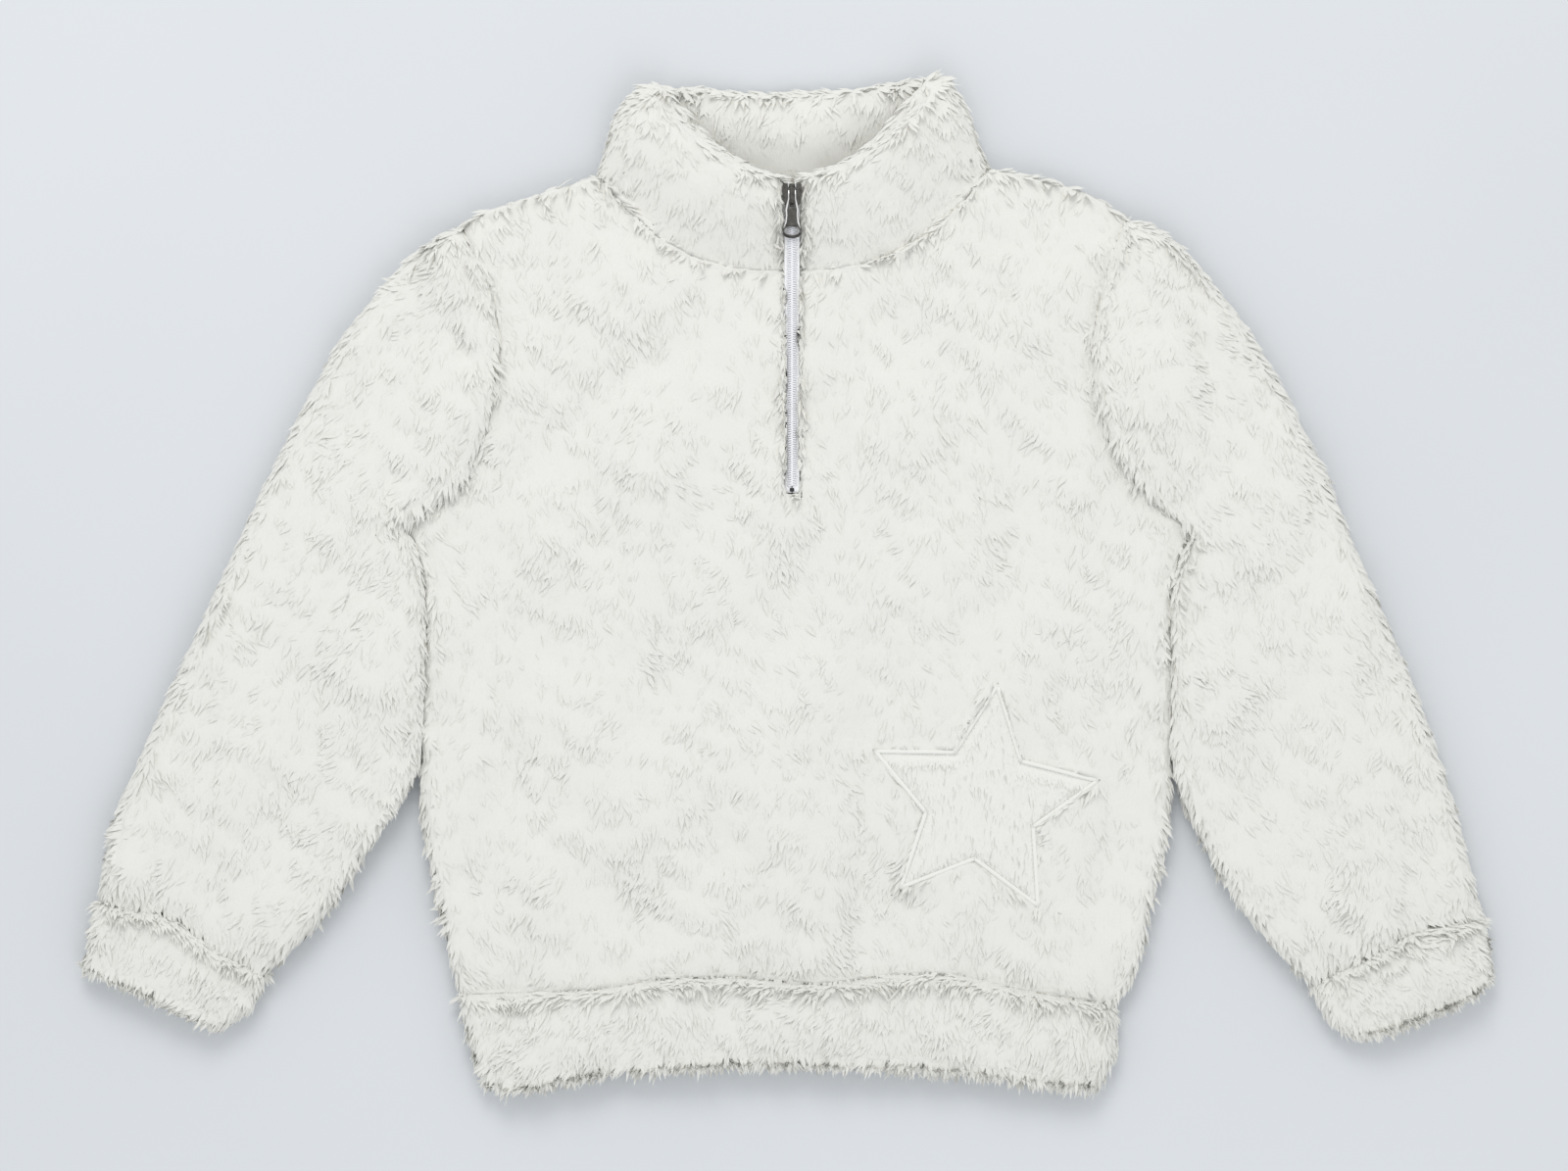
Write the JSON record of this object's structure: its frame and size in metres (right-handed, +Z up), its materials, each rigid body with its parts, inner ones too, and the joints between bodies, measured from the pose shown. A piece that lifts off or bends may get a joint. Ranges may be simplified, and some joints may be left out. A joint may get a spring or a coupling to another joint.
{
  "type": "half-zip sweatshirt",
  "caption": "High-pile fleece half-zip sweatshirt with a stand collar, banded hem and cuffs and a star at the hem, laid flat on its back with its sleeves spread.",
  "frame": {"origin": "centre of the underside of the box round the garment as it lies, on the surface it rests on", "axes": "+X across the spread sleeves towards the wearer's left sleeve, +Y from the hem towards the collar, +Z up from the surface"},
  "size_m": [0.832, 0.596, 0.0329],
  "materials": {
    "fleece": "curly high-pile fleece, warm off-white, matt",
    "shorn_fleece": "pile pressed short, off-white, matt",
    "zip_tape": "woven tape, cool white",
    "zip_stop": "black, matt",
    "zip_metal": "gunmetal with bright edges"
  },
  "bodies": {
    "garment": {"front": "fleece", "back": "fleece", "sleeve_right": "fleece", "sleeve_left": "fleece", "cuff_right": "fleece", "cuff_left": "fleece", "hem_band": "fleece", "collar": "fleece", "star_patch": "shorn_fleece", "zip_tape_right": "zip_tape", "zip_tape_left": "zip_tape", "zip_stop": "zip_stop", "zip_slider": "zip_metal"},
    "pull": {"zip_pull": "zip_metal"}
  },
  "joints": [
    {"name": "pull_hinge", "type": "hinge", "parent": "garment", "child": "pull", "pos_m": [0.0018, 0.231, 0.03042], "axis": [-1, 0, 0], "range_deg": [0, 150]}
  ]
}
